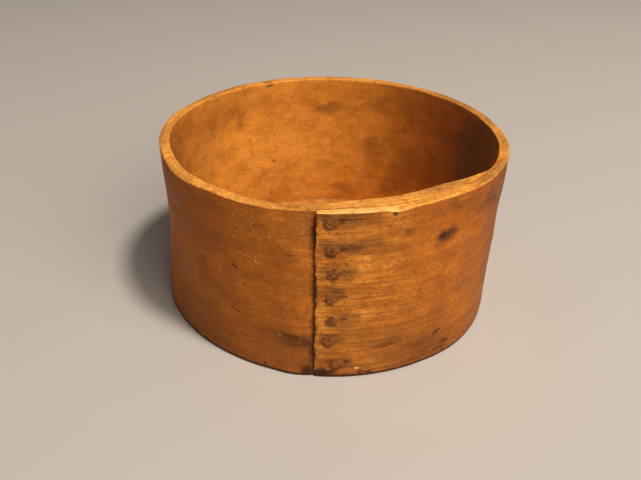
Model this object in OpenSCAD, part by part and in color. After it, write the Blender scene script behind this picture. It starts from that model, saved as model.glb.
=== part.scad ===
// Bentwood dry measure: one thin strip of wood steamed and bent round until its ends lap, nailed through
// the lap with a column of hand-made iron nails, with a round board let into its lower end on wooden pegs.
// Millimetres, +Z up. The origin is on the axis of the band, at its lower edge, and the lap faces -Y.

/* [Side band] */
// Outside diameter of the band
outer_d = 240; // [200:1:300]
// Height of the band
band_h = 122; // [100:1:160]
// Thickness of the bent strip
wall_t = 7; // [5:0.5:9]
// Rounding of the worn rim
rim_round = 1.6; // [0.4:0.1:2.2]
// Rounding of the lower edge
foot_round = 0.8; // [0.2:0.1:2]

/* [Lap] */
// Angle at which the outer end of the strip stops
seam_a = 266; // [250:1:280]
// Arc over which the two ends lap
lap_arc = 64; // [54:1:76]
// Arc before the seam at which the strip starts to turn in under its outer end
tuck_lead = 18; // [12:1:22]
// Arc in which the strip moves in by one thickness
tuck_arc = 44; // [38:1:48]
// Gap between the two layers of the lap
lap_gap = 0.2; // [0.1:0.05:0.25]
// Gap under the thinned outer end
skive_gap = 0.35; // [0.3:0.05:0.6]
// Thickness of the thinned inner end
tail_t = 1; // [0.8:0.1:4.5]
// Arc over which the inner end is thinned
tail_arc = 17; // [10:1:18]

/* [Bottom board] */
// Thickness of the bottom board
board_t = 7.4; // [6:0.2:16]
// Height of the board's underside above the lower edge of the band
board_lift = 0.8; // [0:0.2:6]
// Gap between the board and the band
board_gap = 0.2; // [0.1:0.05:0.3]
// Gap between the board and the inner layer of the lap
board_lap_gap = 0.4; // [0.35:0.05:0.8]

/* [Lap nails] */
// Number of nails in the column beside the seam
lap_nails = 7; // [5:1:8]
// Arc from the seam to the column of nails
nail_set = 5; // [4:0.5:7]
// Height left above the top nail
nail_top = 7; // [6:0.5:12]
// Side of the square shank
nail_w = 2.6; // [2:0.1:3.2]
// Diameter of the head
head_d = 8; // [6:0.5:10]
// Height of the head's crown
head_h = 1.7; // [1.2:0.1:2.4]
// Depth to which the head has sunk into the wood
head_sink = 0.5; // [0.2:0.1:1]
// Length of the tip turned over inside
clinch_l = 5.5; // [4:0.5:6]
// Thickness of the tip turned over inside
clinch_t = 1.8; // [1.2:0.1:2.4]
// Depth to which the turned tip is hammered into the wood
clinch_sink = 0.8; // [0.5:0.1:1.2]
// Height of the lowest nail above the board
nail_rise = 3.4; // [2:0.1:6]
// Gap round the nails
nail_gap = 0.15; // [0.1:0.05:0.3]

/* [Bottom pegs] */
// Number of pegs round the board
pegs = 12; // [8:1:14]
// Arc from the seam to the first peg
peg_set = 14.5; // [12:0.5:16]
// Diameter of a peg
peg_d = 3.5; // [2.5:0.5:5]
// Length of a peg inside the board
peg_bite = 14; // [10:1:24]
// Gap round the pegs
peg_gap = 0.1; // [0.05:0.05:0.2]

/* [Hidden] */
$fn = 96;

// how far a cutting shape runs past what it cuts
over = 2;
// where one run of the strip enters the next: the arc that it goes in, and how much slimmer it is all round
grip_a = 1;
hair = 0.05;

// the strip is a chain of arcs that meet smoothly, each given by its centre and the radius of its middle
axis = [0, 0];
band_r = outer_d / 2;
turn_r = band_r - wall_t / 2;
tuck_in = wall_t + lap_gap;
tuck_a = seam_a - tuck_lead;
mid_a = tuck_a + tuck_arc / 2;
join_a = tuck_a + tuck_arc;
tail_a = seam_a + lap_arc;
tuck_shift = tuck_in / (2 * (1 - cos(tuck_arc / 2)));
steep_c = tuck_shift * toward(tuck_a);
steep_r = turn_r - tuck_shift;
flat_c = -tuck_shift * toward(join_a);
flat_r = turn_r - tuck_in + tuck_shift;
tail_r = turn_r - tuck_in;
// angle, seen from the axis, at which the steep arc gives way to the flat one
bend_p = steep_c + steep_r * toward(mid_a);
bend_a = tuck_a + (atan2(bend_p.y, bend_p.x) - tuck_a + 720) % 360;

// the inner end is thinned by a drum set off to one side, which leaves an even taper
taper_from = tail_r - wall_t / 2;
taper_to = tail_r + wall_t / 2 - tail_t;
taper_mean = (taper_from + taper_to) / 2;
taper_half = tail_arc / 2;
taper_shift = (taper_to - taper_from) / (2 * sin(taper_half));
taper_c = taper_shift * toward(tail_a - taper_half + 90);
taper_r = sqrt(pow(taper_mean, 2) + pow(taper_shift * cos(taper_half), 2));

board_r = band_r - wall_t - board_gap;
board_mid_z = board_lift + board_t / 2;
board_top_z = board_lift + board_t;

nail_low_z = board_top_z + nail_rise;
nail_pitch = (band_h - nail_top - nail_low_z) / (lap_nails - 1);
// the nails were driven by eye: sideways drift of each, in degrees along the band
nail_drift = [-1.4, -0.6, 0.2, -0.6, -0.2, -1.1, 2];
cap_r = (pow(head_d / 2, 2) + pow(head_h, 2)) / (2 * head_h);

wood = [0.66, 0.38, 0.16];
pale_wood = [0.72, 0.50, 0.27];
peg_wood = [0.56, 0.34, 0.16];
iron = [0.20, 0.16, 0.14];

// direction of an angle round the axis
function toward(a) = [cos(a), sin(a)];

// distance from the axis, along an angle, to a circle that encloses the axis
function reach(c, r, a) = let (along = c * toward(a)) along + sqrt(r * r - c * c + along * along);

// the outermost and innermost faces of the wall at an angle, seen from the axis
function outer_face(a) =
    let (d = (a - tuck_a + 720) % 360)
    d < bend_a - tuck_a && d < tuck_lead ? reach(steep_c, steep_r + wall_t / 2, a)
    : d < tuck_lead ? reach(flat_c, flat_r + wall_t / 2, a)
    : band_r;
function inner_face(a) =
    let (d = (a - tuck_a + 720) % 360)
    d < bend_a - tuck_a ? reach(steep_c, steep_r - wall_t / 2, a)
    : d < tuck_arc ? reach(flat_c, flat_r - wall_t / 2, a)
    : d < tuck_lead + lap_arc ? tail_r - wall_t / 2
    : band_r - wall_t;

// a flat face across the wall at an angle, just under the outside over the width given
function flat_under(a, w) = sqrt(pow(outer_face(a), 2) - pow(w / 2, 2));

function nail_a(i) = seam_a + nail_set + nail_drift[(i - 1) % len(nail_drift)];
function nail_z(i) = band_h - nail_top - (i - 1) * nail_pitch;
function peg_a(i) = seam_a + peg_set + (i - 1) * 360 / pegs;

// sweeps a profile, drawn about the middle of the strip, along one arc of the chain
module run(c, r, from_a, to_a) {
    translate(c)
        rotate(from_a)
            rotate_extrude(angle = to_a - from_a)
                translate([r, 0])
                    children();
}

// the two arcs that carry the strip in under its outer end
module steep_run(from_a) {
    run(steep_c, steep_r, from_a, mid_a + grip_a) children();
}

module flat_run() {
    run(flat_c, flat_r, mid_a, join_a) children();
}

// the inner layer of the lap, from the tuck to a given angle
module tail_run(to_a) {
    run(axis, tail_r, join_a - grip_a, to_a) children();
}

// room for the tucked strip, with the gaps given inside and outside it
module tuck_room(inside, outside) {
    steep_run(tuck_a + grip_a) clear_section(inside - hair, outside - hair);
    flat_run() clear_section(inside, outside);
}

// what the thinned inner end is cut back to
module taper_drum(r) {
    translate([taper_c.x, taper_c.y, -2 * over])
        cylinder(h = band_h + 4 * over, r = r);
}

// section of the strip, with its worn rim and lower edge, slimmer all round by the amount given
module strip_section(slim) {
    half = wall_t / 2 - slim;
    top = band_h - slim;
    translate([-half, slim + foot_round]) square([2 * half, top - slim - foot_round - rim_round]);
    translate([-half + foot_round, slim]) square([2 * (half - foot_round), 2 * foot_round]);
    translate([-half + rim_round, top - 2 * rim_round]) square([2 * (half - rim_round), 2 * rim_round]);
    for (side = [-1, 1]) {
        translate([side * (half - rim_round), top - rim_round]) circle(rim_round);
        translate([side * (half - foot_round), slim + foot_round]) circle(foot_round);
    }
}

// section of a cut that clears the strip by the gaps given, inside and outside
module clear_section(inside, outside) {
    translate([-wall_t / 2 - inside, -over]) square([wall_t + inside + outside, band_h + 2 * over]);
}

// places a piece at an angle and a height, with its X axis pointing out from the band's axis
module set_at(a, z) {
    rotate(a)
        translate([0, 0, z])
            children();
}

// the square shank from one radius to another, with a gap round it
module shank(from_r, to_r, gap) {
    w = nail_w + 2 * gap;
    translate([from_r, -w / 2, -w / 2]) cube([to_r - from_r, w, w]);
}

// a nail with a gap round it: crowned head outside, and inside a tip turned towards mid-height
module lap_nail_form(i, gap) {
    a = nail_a(i);
    in_r = inner_face(a);
    seat_r = flat_under(a, head_d) - head_sink;
    set_at(a, nail_z(i)) {
        translate([seat_r, 0, 0])
            rotate([0, 90, 0])
                if (gap > 0)
                    cylinder(h = head_sink + over, d = head_d + 2 * gap);
                else
                    nail_head();
        shank(in_r + clinch_sink - clinch_t - gap, seat_r + head_h / 2, gap);
        if (nail_z(i) > band_h / 2)
            clinch(in_r + clinch_sink, gap);
        else
            mirror([0, 0, 1]) clinch(in_r + clinch_sink, gap);
    }
}

// the crown of a nail head, a shallow cap standing on its flat underside
module nail_head() {
    rotate_extrude()
        intersection() {
            translate([0, head_h - cap_r]) circle(cap_r);
            square([head_d, head_h]);
        }
}

// the tip turned down, whose outer face lies at the radius given
module clinch(face_r, gap) {
    w = nail_w + 2 * gap;
    translate([face_r - clinch_t - gap, -w / 2, -clinch_l - gap])
        cube([clinch_t + 2 * gap, w, clinch_l + w / 2 + gap]);
}

// a peg with a gap round it, trimmed flush outside
module peg_form(i, gap) {
    a = peg_a(i);
    in_r = inner_face(a) - board_gap - peg_bite - gap;
    out_r = flat_under(a, peg_d) + (gap > 0 ? over : 0);
    set_at(a, board_mid_z)
        translate([in_r, 0, 0]) rotate([0, 90, 0]) cylinder(h = out_r - in_r, d = peg_d + 2 * gap);
}

module fixing_holes() {
    for (i = [1:lap_nails]) lap_nail_form(i, nail_gap);
    for (i = [1:pegs]) peg_form(i, peg_gap);
}

module side_band() {
    color(wood)
        difference() {
            union() {
                // outer layer, thinned underneath where the strip comes in below it
                difference() {
                    run(axis, turn_r, seam_a, tuck_a + 360) strip_section(0);
                    tuck_room(over, skive_gap);
                }
                steep_run(tuck_a - grip_a) strip_section(hair);
                flat_run() strip_section(0);
                // inner layer, thinned towards its end
                difference() {
                    tail_run(tail_a) strip_section(hair);
                    taper_drum(taper_r);
                }
            }
            fixing_holes();
        }
}

module bottom_board() {
    past_tail = tail_a + board_lap_gap / tail_r * 180 / PI;
    color(pale_wood)
        difference() {
            translate([0, 0, board_lift]) cylinder(h = board_t, r = board_r);
            tuck_room(board_lap_gap, over);
            difference() {
                tail_run(past_tail) clear_section(board_lap_gap - hair, over);
                taper_drum(taper_r - board_lap_gap);
            }
            fixing_holes();
        }
}

module lap_nail(i) {
    color(iron) lap_nail_form(i, 0);
}

module bottom_peg(i) {
    color(peg_wood) peg_form(i, 0);
}

side_band();
bottom_board();
for (i = [1:lap_nails])
    lap_nail(i);
for (i = [1:pegs])
    bottom_peg(i);
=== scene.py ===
import math
import bpy
import bmesh
from mathutils import Matrix, Vector, noise


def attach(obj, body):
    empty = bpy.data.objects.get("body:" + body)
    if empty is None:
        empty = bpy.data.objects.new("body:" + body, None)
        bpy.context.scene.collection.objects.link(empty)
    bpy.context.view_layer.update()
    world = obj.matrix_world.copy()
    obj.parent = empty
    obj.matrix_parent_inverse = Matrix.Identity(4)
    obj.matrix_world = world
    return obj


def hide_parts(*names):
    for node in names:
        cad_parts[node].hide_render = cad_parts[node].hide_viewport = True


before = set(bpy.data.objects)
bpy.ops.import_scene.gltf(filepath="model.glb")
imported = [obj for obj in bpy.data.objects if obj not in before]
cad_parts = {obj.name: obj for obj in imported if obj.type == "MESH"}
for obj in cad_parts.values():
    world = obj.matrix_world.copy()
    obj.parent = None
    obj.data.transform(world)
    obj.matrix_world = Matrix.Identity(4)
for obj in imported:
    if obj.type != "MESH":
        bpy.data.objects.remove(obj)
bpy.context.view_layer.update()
scene = bpy.context.scene
scene.view_settings.view_transform = "Standard"
print("frame: %d solids loaded" % len(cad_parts))


# camera, at the photo's viewing angle

cameraSet = {
    "back": 0.46683, "up": 0.31655,                # metres from the axis and above the floor
    "pitch": 31.43, "yaw": 0.95, "roll": 1.13,     # degrees
    "lens": 39.69, "sensor": 36,                   # mm
}


def placeCamera(c):
    data = bpy.data.cameras.new("photoCamera")
    data.lens = c["lens"]
    data.sensor_width = c["sensor"]
    camera = bpy.data.objects.new("photoCamera", data)
    turn = (Matrix.Rotation(math.radians(c["yaw"]), 4, "Z")
            @ Matrix.Rotation(math.radians(90 - c["pitch"]), 4, "X")
            @ Matrix.Rotation(math.radians(c["roll"]), 4, "Z"))
    camera.matrix_world = Matrix.Translation((0, -c["back"], c["up"])) @ turn
    scene.collection.objects.link(camera)
    scene.camera = camera


placeCamera(cameraSet)
print("camera: placed")


# small helpers

deg = math.pi / 180


def smoothStep(low, high, value):
    t = min(max((value - low) / (high - low), 0), 1)
    return t * t * (3 - 2 * t)


def toward(a):
    return Vector((math.cos(a), math.sin(a)))


def reach(centre, radius, a):  # from the axis, along an angle, to a circle round it
    along = centre.dot(toward(a))
    return along + math.sqrt(radius * radius - centre.dot(centre) + along * along)


def ripple(x, y=0.0, z=0.0):
    return noise.noise(Vector((x, y, z)))


def finishMesh(bm, name, material, node, sharp):
    bmesh.ops.recalc_face_normals(bm, faces=bm.faces)
    mesh = bpy.data.meshes.new(name)
    bm.to_mesh(mesh)
    bm.free()
    mesh.shade_smooth()
    mesh.set_sharp_from_angle(angle=math.radians(sharp))
    mesh.materials.append(material)
    piece = bpy.data.objects.new(name, mesh)
    scene.collection.objects.link(piece)
    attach(piece, "root")
    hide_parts(node)


# shader helpers

def newMaterial(name):
    material = bpy.data.materials.new(name)
    material.use_nodes = True
    tree = material.node_tree
    return material, tree, tree.nodes["Principled BSDF"]


def newGroup(name, inputs, outputs):
    tree = bpy.data.node_groups.new(name, "ShaderNodeTree")
    for label, kind, value in inputs:
        socket = tree.interface.new_socket(label, in_out="INPUT", socket_type=kind)
        if value is not None:
            socket.default_value = value
    for label in outputs:
        tree.interface.new_socket(label, in_out="OUTPUT", socket_type="NodeSocketFloat")
    return tree, tree.nodes.new("NodeGroupInput"), tree.nodes.new("NodeGroupOutput")


def feed(tree, sockets, values):  # a link if it comes from a node, a plain value if not
    for label, value in values.items():
        if isinstance(value, bpy.types.NodeSocket):
            tree.links.new(value, sockets[label])
        else:
            sockets[label].default_value = value


def addNode(tree, kind, values):
    n = tree.nodes.new(kind)
    feed(tree, n.inputs, values)
    return n


def useGroup(tree, group, **values):
    n = tree.nodes.new("ShaderNodeGroup")
    n.node_tree = group
    feed(tree, n.inputs, values)
    return n.outputs


def stretched(tree, vector, scale, shift=(0, 0, 0), turn=0.0):
    n = addNode(tree, "ShaderNodeMapping", {"Vector": vector, "Location": shift, "Rotation": (0, 0, turn),
                                            "Scale": scale})
    return n.outputs["Vector"]


def parts(tree, vector):  # X, Y and Z of a vector
    return addNode(tree, "ShaderNodeSeparateXYZ", {0: vector}).outputs


def cloud(tree, vector, scale, detail, rough, twist=0.0):
    n = addNode(tree, "ShaderNodeTexNoise", {"Vector": vector, "Scale": scale, "Detail": detail,
                                             "Roughness": rough, "Distortion": twist})
    return n.outputs["Fac"]


def maths(tree, operation, a, b=0.5, clamp=False):
    n = addNode(tree, "ShaderNodeMath", {0: a, 1: b})
    n.operation = operation
    n.use_clamp = clamp
    return n.outputs[0]


def times(tree, a, b, clamp=False):
    return maths(tree, "MULTIPLY", a, b, clamp)


def spread(tree, value, low, high, toLow=0.0, toHigh=1.0):
    n = addNode(tree, "ShaderNodeMapRange", {"Value": value, "From Min": low, "From Max": high,
                                             "To Min": toLow, "To Max": toHigh})
    n.interpolation_type = "SMOOTHSTEP"
    return n.outputs["Result"]


def blend(tree, factor, a, b):
    n = tree.nodes.new("ShaderNodeMix")
    n.data_type = "RGBA"
    feed(tree, n.inputs, {"Factor": factor, "A": a, "B": b})
    return n.outputs["Result"]


def layOn(tree, colour, *coats):  # coats of colour, each through its mask, over one another
    for mask, tone in coats:
        colour = blend(tree, mask, colour, tone)
    return colour


def bump(tree, height, strength, distance):
    n = addNode(tree, "ShaderNodeBump", {"Strength": strength, "Distance": distance, "Height": height})
    return n.outputs["Normal"]


def readAttribute(tree, name):
    n = tree.nodes.new("ShaderNodeAttribute")
    n.attribute_name = name
    return n.outputs


def objectPlace(tree):
    return tree.nodes.new("ShaderNodeTexCoord").outputs["Object"]


# effects that several finishes share

def makeGrain():  # X runs along the grain, Y and Z across it, in metres
    tree, take, give = newGroup("woodGrain", [("Vector", "NodeSocketVector", None)],
                                ("Bands", "Fine", "Fibre", "Pores"))
    v = take.outputs["Vector"]
    bands = cloud(tree, stretched(tree, v, (7, 140, 125)), 1, 3, 0.6, 0.4)
    fine = cloud(tree, stretched(tree, v, (26, 480, 430), (3, 1, 7)), 1, 4, 0.6, 0.3)
    fibre = cloud(tree, stretched(tree, v, (110, 1900, 1900), (5, 2, 1)), 1, 2, 0.6)
    pores = cloud(tree, stretched(tree, v, (190, 1300, 1150), (9, 4, 2)), 1, 1, 0.5)
    feed(tree, give.inputs, {"Bands": bands, "Fine": fine, "Fibre": fibre,
                             "Pores": spread(tree, pores, 0.66, 0.78)})
    return tree


def makeMottle():  # soft patches of old finish and handling
    tree, take, give = newGroup("oldMottle", [("Vector", "NodeSocketVector", None)],
                                ("Broad", "Cloudy", "Patchy", "Grit", "Specks"))
    v = take.outputs["Vector"]
    broad = cloud(tree, v, 14, 3, 0.5, 0.3)
    cloudy = cloud(tree, stretched(tree, v, (1, 1, 1.6), (6, 1, 4)), 27, 4, 0.55, 0.6)
    patchy = cloud(tree, stretched(tree, v, (1, 1, 1.5), (2, 5, 3)), 62, 5, 0.6, 0.5)
    grit = cloud(tree, stretched(tree, v, (1, 1, 1.7), (1, 8, 5)), 420, 5, 0.65)
    specks = cloud(tree, stretched(tree, v, (1, 1, 1), (7, 3, 9)), 330, 2, 0.5)
    feed(tree, give.inputs, {"Broad": broad, "Cloudy": cloudy, "Patchy": patchy, "Grit": grit,
                             "Specks": spread(tree, specks, 0.70, 0.80)})
    return tree


def makeFray():  # gives a soft mask a broken edge
    tree, take, give = newGroup("frayedMask",
                                [("Mask", "NodeSocketFloat", 0.0), ("Vector", "NodeSocketVector", None),
                                 ("Scale", "NodeSocketFloat", 400.0), ("Fray", "NodeSocketFloat", 0.6)],
                                ("Mask",))
    mask = take.outputs["Mask"]
    rough = cloud(tree, take.outputs["Vector"], take.outputs["Scale"], 4, 0.6)
    shift = times(tree, maths(tree, "SUBTRACT", rough, 0.5), take.outputs["Fray"])
    both = maths(tree, "ADD", times(tree, shift, 2.0), mask)
    kept = times(tree, spread(tree, both, 0.12, 0.62), spread(tree, mask, 0.0, 0.15))
    feed(tree, give.inputs, {"Mask": kept})
    return tree


grainGroup, mottleGroup, frayGroup = makeGrain(), makeMottle(), makeFray()


# finishes

# several tones also paint light and shade: the dirt tone and the grey film darken the shaded right of the
# inner face, the stain and darkest tones paint shade in the seam, between the layers, along the foot and
# round the nail heads, and the palest inner tone paints light on the lower inner face
bandTones = {
    "honey": (0.47, 0.125, 0.0115, 1), "amber": (0.62, 0.182, 0.018, 1), "umber": (0.235, 0.062, 0.009, 1),
    "lifted": (0.82, 0.285, 0.036, 1), "inside": (0.86, 0.320, 0.042, 1), "paleFibreAndLight": (0.89, 0.370, 0.054, 1),
    "grimeAndShade": (0.100, 0.038, 0.012, 1), "shadeFilm": (0.068, 0.090, 0.082, 1), "stainAndShade": (0.080, 0.028, 0.009, 1),
    "darkest": (0.030, 0.012, 0.005, 1), "worn": (0.96, 0.385, 0.058, 1), "dull": (0.66, 0.215, 0.030, 1),
    "pit": (0.50, 0.135, 0.018, 1), "bright": (0.98, 0.490, 0.112, 1), "fresh": (1.0, 0.580, 0.175, 1),
}


def makeBandWood(t):
    material, tree, shader = newMaterial("bandWood")
    plank = readAttribute(tree, "plank")["Vector"]
    stainAndShade, pale, worn, grimeAndShade = (readAttribute(tree, name)["Fac"]
                                for name in ("stainAndShade", "pale", "worn", "grimeAndShade"))
    place = objectPlace(tree)
    grain = useGroup(tree, grainGroup, Vector=plank)
    mottle = useGroup(tree, mottleGroup, Vector=place)
    along, depth, up = parts(tree, plank)
    nearEnd = spread(tree, along, 0.085, 0.010)    # the grain has lifted towards the outer end
    nearTuck = spread(tree, along, 0.650, 0.715, 0, 0.26)  # and a little where the other end goes under
    inside = spread(tree, depth, -0.0028, -0.0034)
    # painted light: the lower inner face is painted lighter with the palest inner tone, which the grain's
    # pale fibres also use
    litLowInside = times(tree, inside, spread(tree, up, 0.105, 0.058))
    colour = layOn(tree, t["honey"], (spread(tree, mottle["Broad"], 0.36, 0.66), t["amber"]),
                   (times(tree, nearEnd, 0.90), t["lifted"]), (nearTuck, t["lifted"]),
                   (times(tree, inside, 0.88), t["inside"]), (times(tree, litLowInside, 0.8), t["paleFibreAndLight"]))
    # grain, which shows less on the inner face
    calm = spread(tree, inside, 0, 1, 1, 0.30)
    bands = times(tree, spread(tree, grain["Bands"], 0.56, 0.30, 0, 0.26), calm)
    fine = spread(tree, grain["Fine"], 0.60, 0.36)
    streaks = times(tree, times(tree, fine, calm), spread(tree, nearEnd, 0, 1, 0.16, 0.48))
    fibres = spread(tree, grain["Fine"], 0.50, 0.64, 0, 0.42)
    fibres = times(tree, fibres, spread(tree, nearEnd, 0, 1, 0.10, 1.0))
    colour = layOn(tree, colour, (bands, t["umber"]), (streaks, t["umber"]), (fibres, t["paleFibreAndLight"]))
    # old finish: which mottle, where it starts and is full, how strong, and how much of that inside
    for name, start, full, strength, within in (("Patchy", 0.60, 0.34, 0.42, 0.75),
                                                ("Cloudy", 0.54, 0.34, 0.24, 0.9),
                                                ("Grit", 0.56, 0.34, 0.54, 0.45)):
        patches = spread(tree, mottle[name], start, full, 0, strength)
        patches = times(tree, patches, spread(tree, inside, 0, 1, 1, within))
        colour = blend(tree, patches, colour, t["umber"])
    # dirt, which lies more evenly on the inner face, and painted shade: a grey film, part dirt and part
    # painted shade, darkens the shaded right of the inner face
    broken = spread(tree, mottle["Patchy"], 0.36, 0.62, 0.45, 1.0)
    broken = times(tree, broken, spread(tree, fine, 0, 1, 0.74, 1.0))
    dirtAndShade = times(tree, grimeAndShade, maths(tree, "MAXIMUM", broken, times(tree, inside, 0.85)))
    dustAndShadeRight = times(tree, inside, spread(tree, parts(tree, place)["X"], 0.050, 0.092))
    colour = blend(tree, dirtAndShade, colour, blend(tree, dustAndShadeRight, t["grimeAndShade"], t["shadeFilm"]))
    # edges worn down to bright wood
    wornMask = useGroup(tree, frayGroup, Mask=worn, Vector=plank, Scale=850.0, Fray=0.6)["Mask"]
    pits = spread(tree, cloud(tree, place, 340, 4, 0.65), 0.52, 0.68, 0, 0.9)
    edge = layOn(tree, t["worn"], (spread(tree, mottle["Patchy"], 0.54, 0.36, 0, 0.55), t["dull"]),
                 (times(tree, fine, 0.34), t["umber"]),
                 (spread(tree, mottle["Grit"], 0.54, 0.34, 0, 0.5), t["dull"]),
                 (spread(tree, mottle["Grit"], 0.48, 0.66, 0, 0.6), t["bright"]),
                 (pits, t["pit"]), (times(tree, grimeAndShade, 0.8), t["grimeAndShade"]))
    # chips and stains, with painted shade in the seam, in the gap between the layers, along the foot and
    # round the nail heads
    paleMask = useGroup(tree, frayGroup, Mask=pale, Vector=place, Scale=500.0, Fray=0.5)["Mask"]
    drawnOut = stretched(tree, plank, (0.45, 1, 1))
    stainAndShadeMask = useGroup(tree, frayGroup, Mask=stainAndShade, Vector=drawnOut, Scale=520.0, Fray=0.6)["Mask"]
    stainAndShadeMask = times(tree, stainAndShadeMask, spread(tree, stainAndShade, 0.0, 0.9, 0.3, 0.9))
    colour = layOn(tree, colour, (wornMask, edge), (times(tree, paleMask, 0.7), t["fresh"]),
                   (stainAndShadeMask, t["stainAndShade"]), (spread(tree, stainAndShade, 0.62, 1.0, 0, 0.6), t["darkest"]))
    # nicks: X runs along one and Y across it, 1 at its edge, and Z says how dark it is
    nick = parts(tree, readAttribute(tree, "nick")["Vector"])
    wander = spread(tree, mottle["Grit"], 0.3, 0.7, -0.5, 0.5)
    across = maths(tree, "ABSOLUTE", maths(tree, "ADD", nick["Y"], wander))
    lengthways = maths(tree, "ABSOLUTE", nick["X"])
    inNick = times(tree, spread(tree, across, 1.1, 0.3), spread(tree, lengthways, 1.0, 0.4))
    darkNick = times(tree, inNick, nick["Z"], True)
    paleNick = times(tree, inNick, times(tree, nick["Z"], -1.0), True)
    specks = times(tree, mottle["Specks"], spread(tree, wornMask, 0, 1, 0.5, 0.15))
    colour = layOn(tree, colour, (darkNick, t["stainAndShade"]), (paleNick, t["worn"]),
                   (times(tree, grain["Pores"], 0.25), t["stainAndShade"]), (specks, t["stainAndShade"]))
    rough = spread(tree, mottle["Patchy"], 0.3, 0.7, 0.48, 0.64)
    rough = maths(tree, "ADD", rough, times(tree, stainAndShadeMask, 0.2), True)
    height = times(tree, grain["Fine"], 0.8)
    for sign, value, share in (("SUBTRACT", grain["Pores"], 0.5), ("ADD", grain["Fibre"], 0.35),
                               ("ADD", mottle["Grit"], 0.6), ("SUBTRACT", stainAndShadeMask, 0.5),
                               ("SUBTRACT", darkNick, 0.5)):
        height = maths(tree, sign, height, times(tree, value, share))
    feed(tree, shader.inputs, {"Base Color": colour, "Roughness": rough, "Specular IOR Level": 0.12,
                               "Normal": bump(tree, height, 0.4, 0.0005)})
    return material


boardTones = {
    "tan": (0.69, 0.290, 0.048, 1), "straw": (0.82, 0.385, 0.070, 1),
    "brown": (0.430, 0.135, 0.018, 1), "darkest": (0.12, 0.045, 0.013, 1),
}
boardTurn = 14 * deg                               # the way its grain and the plane run


def makeBoardWood(t):
    material, tree, shader = newMaterial("boardWood")
    place = objectPlace(tree)
    plank = stretched(tree, place, (1, 1, 1), turn=boardTurn)
    grain = useGroup(tree, grainGroup, Vector=plank)
    mottle = useGroup(tree, mottleGroup, Vector=place)
    rings = cloud(tree, stretched(tree, plank, (1.6, 60, 20)), 1, 2, 0.5, 0.8)
    rings = maths(tree, "PINGPONG", times(tree, rings, 9.0), 1.0)
    ring = addNode(tree, "ShaderNodeVectorMath", {0: stretched(tree, place, (1, 1, 0))})
    ring.operation = "LENGTH"                      # darker towards the wall
    edge = spread(tree, ring.outputs["Value"], 0.108, 0.116)
    edge = useGroup(tree, frayGroup, Mask=edge, Vector=place, Scale=160.0, Fray=0.5)["Mask"]
    colour = layOn(tree, t["straw"], (spread(tree, rings, 0.1, 0.9), t["tan"]),
                   (spread(tree, grain["Fine"], 0.60, 0.34, 0, 0.5), t["brown"]),
                   (spread(tree, mottle["Patchy"], 0.58, 0.34, 0, 0.65), t["brown"]),
                   (spread(tree, mottle["Broad"], 0.55, 0.35, 0, 0.45), t["brown"]),
                   (times(tree, grain["Pores"], 0.5), t["darkest"]),
                   (times(tree, mottle["Specks"], 0.6), t["darkest"]), (times(tree, edge, 0.3), t["darkest"]))
    height = maths(tree, "ADD", grain["Fine"], times(tree, rings, 0.5))
    height = maths(tree, "SUBTRACT", height, times(tree, grain["Pores"], 0.5))
    feed(tree, shader.inputs, {"Base Color": colour, "Normal": bump(tree, height, 0.5, 0.0006),
                               "Roughness": spread(tree, mottle["Patchy"], 0.3, 0.7, 0.55, 0.75)})
    return material


pegTones = {"end": (0.34, 0.094, 0.0115, 1), "dark": (0.17, 0.048, 0.008, 1)}


def makePegWood(t):
    material, tree, shader = newMaterial("pegWood")
    place = objectPlace(tree)
    mottle = useGroup(tree, mottleGroup, Vector=place)
    pith = cloud(tree, place, 900, 3, 0.6)
    colour = layOn(tree, t["dark"], (spread(tree, pith, 0.40, 0.60), t["end"]),
                   (spread(tree, mottle["Patchy"], 0.60, 0.36, 0, 0.6), t["dark"]))
    feed(tree, shader.inputs, {"Base Color": colour, "Roughness": spread(tree, pith, 0.3, 0.7, 0.75, 0.6),
                               "Specular IOR Level": 0.1, "Normal": bump(tree, pith, 0.5, 0.0004)})
    return material


ironTones = {
    "scale": (0.150, 0.050, 0.011, 1), "rust": (0.330, 0.108, 0.020, 1), "bare": (0.560, 0.225, 0.055, 1),
}


def makeNailIron(t):
    material, tree, shader = newMaterial("nailIron")
    place = objectPlace(tree)
    pits = cloud(tree, place, 900, 4, 0.65)
    rust = cloud(tree, stretched(tree, place, (1, 1, 1), (4, 8, 1)), 420, 4, 0.6, 0.5)
    colour = layOn(tree, t["scale"], (spread(tree, rust, 0.38, 0.66), t["rust"]),
                   (spread(tree, pits, 0.52, 0.76, 0, 0.6), t["bare"]))
    feed(tree, shader.inputs, {"Base Color": colour, "Metallic": spread(tree, rust, 0.40, 0.60, 0.12, 0.0),
                               "Roughness": spread(tree, pits, 0.35, 0.65, 0.72, 0.50),
                               "Specular IOR Level": 0.14, "Normal": bump(tree, pits, 0.6, 0.0005)})
    return material


bandWood, boardWood = makeBandWood(bandTones), makeBoardWood(boardTones)
pegWood, nailIron = makePegWood(pegTones), makeNailIron(ironTones)
print("finishes: band, board, pegs and nails mixed")


# the band: one thin plank, worn while it lies flat, then bent round and tucked in under its own end

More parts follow.
